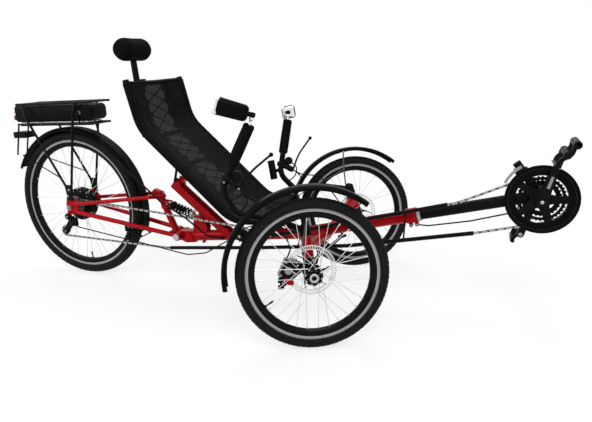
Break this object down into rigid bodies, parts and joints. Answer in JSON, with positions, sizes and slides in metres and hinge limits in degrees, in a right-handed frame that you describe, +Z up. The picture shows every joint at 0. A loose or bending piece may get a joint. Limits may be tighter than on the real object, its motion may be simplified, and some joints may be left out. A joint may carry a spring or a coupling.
{
  "type": "recumbent tricycle",
  "caption": "Recumbent tricycle with two steered front wheels, a driven rear wheel, a mesh sling seat, a rear rack and a battery.",
  "frame": {"origin": "on the ground under the middle of the whole tricycle", "axes": "+X forward, +Y to the rider's left, +Z up; the front wheels rest turned to the left"},
  "size_m": [2.2734, 1.0131, 0.996],
  "materials": {
    "black_metal": "satin",
    "black_paint": "satin",
    "cable": "satin",
    "cloth": "woven",
    "foam": "matte",
    "frame_paint": "gloss",
    "plastic": "matte",
    "silver": "satin",
    "steel": "brushed",
    "tyre": "matte"
  },
  "bodies": {
    "frame": {"main_tube": "frame_paint", "seat_stay": "frame_paint", "cross_member": "frame_paint", "boom": "black_paint", "swingarm": "frame_paint", "pivot_bolt": "silver", "shock": "steel", "seat_frame": "black_paint", "seat_sling": "cloth", "seat_links": "black_metal", "seat_post": "black_paint", "headrest_post": "black_metal", "headrest_pad": "cloth", "rack": "black_metal", "battery": "plastic", "rear_fender": "plastic", "tail_bracket": "black_metal", "rear_axle": "steel", "chain": "steel", "chain_tube_upper": "plastic", "chain_tube_lower": "plastic", "idler": "plastic", "rear_derailleur": "black_metal", "rear_brake": "black_metal", "front_derailleur": "black_metal", "power_cable": "cable", "gear_cable": "cable", "boom_cable": "cable"},
    "steering_right": {"knuckle_right": "black_metal", "caliper_right": "black_metal", "front_fender_right": "plastic", "handlebar_right": "black_metal", "grip_right": "foam", "brake_lever_right": "black_metal", "mirror_right": "plastic", "brake_hose_right": "cable"},
    "steering_left": {"knuckle_left": "black_metal", "caliper_left": "black_metal", "front_fender_left": "plastic", "handlebar_left": "black_metal", "grip_left": "foam", "brake_lever_left": "black_metal", "mirror_left": "plastic", "brake_hose_left": "cable", "control_pod": "plastic"},
    "front_wheel_right": {"front_tyre_right": "tyre", "front_rim_right": "black_metal", "front_hub_right": "steel"},
    "front_wheel_left": {"front_tyre_left": "tyre", "front_rim_left": "black_metal", "front_hub_left": "steel"},
    "rear_wheel": {"rear_tyre": "tyre", "rear_rim": "black_metal", "hub_motor": "black_metal", "cassette": "steel"},
    "cranks": {"chainrings": "black_metal", "crank_arms": "black_metal"},
    "pedal_right_body": {"pedal_right": "plastic"},
    "pedal_left_body": {"pedal_left": "plastic"},
    "tie_rod_body": {"tie_rod": "black_metal"}
  },
  "joints": [
    {"name": "steer_right", "type": "hinge", "parent": "frame", "child": "steering_right", "pos_m": [0.3436, -0.2903, 0.28487], "axis": [-0.2083, 0.2712, 0.9397], "range_deg": [-53, 3]},
    {"name": "steer_left", "type": "hinge", "parent": "frame", "child": "steering_left", "pos_m": [0.3436, 0.2903, 0.29751], "axis": [-0.2083, -0.2712, 0.9397], "range_deg": [-57.3, 3.3]},
    {"name": "tie_rod_pivot", "type": "hinge", "parent": "steering_right", "child": "tie_rod_body", "pos_m": [0.26121, -0.33227, 0.16679], "axis": [-0.1281, 0.3051, 0.9437], "range_deg": [-3.5, 60.5]},
    {"name": "front_wheel_right_spin", "type": "hinge", "parent": "steering_right", "child": "front_wheel_right", "pos_m": [0.38486, -0.36817, 0.23752], "axis": [-0.4282, 0.9012, -0.0664], "continuous": true},
    {"name": "front_wheel_left_spin", "type": "hinge", "parent": "steering_left", "child": "front_wheel_left", "pos_m": [0.32309, 0.36646, 0.23597], "axis": [-0.4582, 0.8783, -0.1367], "continuous": true},
    {"name": "rear_wheel_spin", "type": "hinge", "parent": "frame", "child": "rear_wheel", "pos_m": [-0.818, 0, 0.32], "axis": [0, 1, 0], "continuous": true},
    {"name": "crank_spin", "type": "hinge", "parent": "frame", "child": "cranks", "pos_m": [1.028, 0, 0.418], "axis": [0, 1, 0], "continuous": true},
    {"name": "pedal_right_spin", "type": "hinge", "parent": "cranks", "child": "pedal_right_body", "pos_m": [1.07762, -0.084, 0.57536], "axis": [0, 1, 0], "continuous": true},
    {"name": "pedal_left_spin", "type": "hinge", "parent": "cranks", "child": "pedal_left_body", "pos_m": [0.97838, 0.084, 0.26064], "axis": [0, 1, 0], "continuous": true}
  ],
  "couplings": [
    {"joint": "steer_left", "follows": "steer_right", "ratio": 1.08},
    {"joint": "tie_rod_pivot", "follows": "steer_right", "ratio": -1.1392}
  ]
}
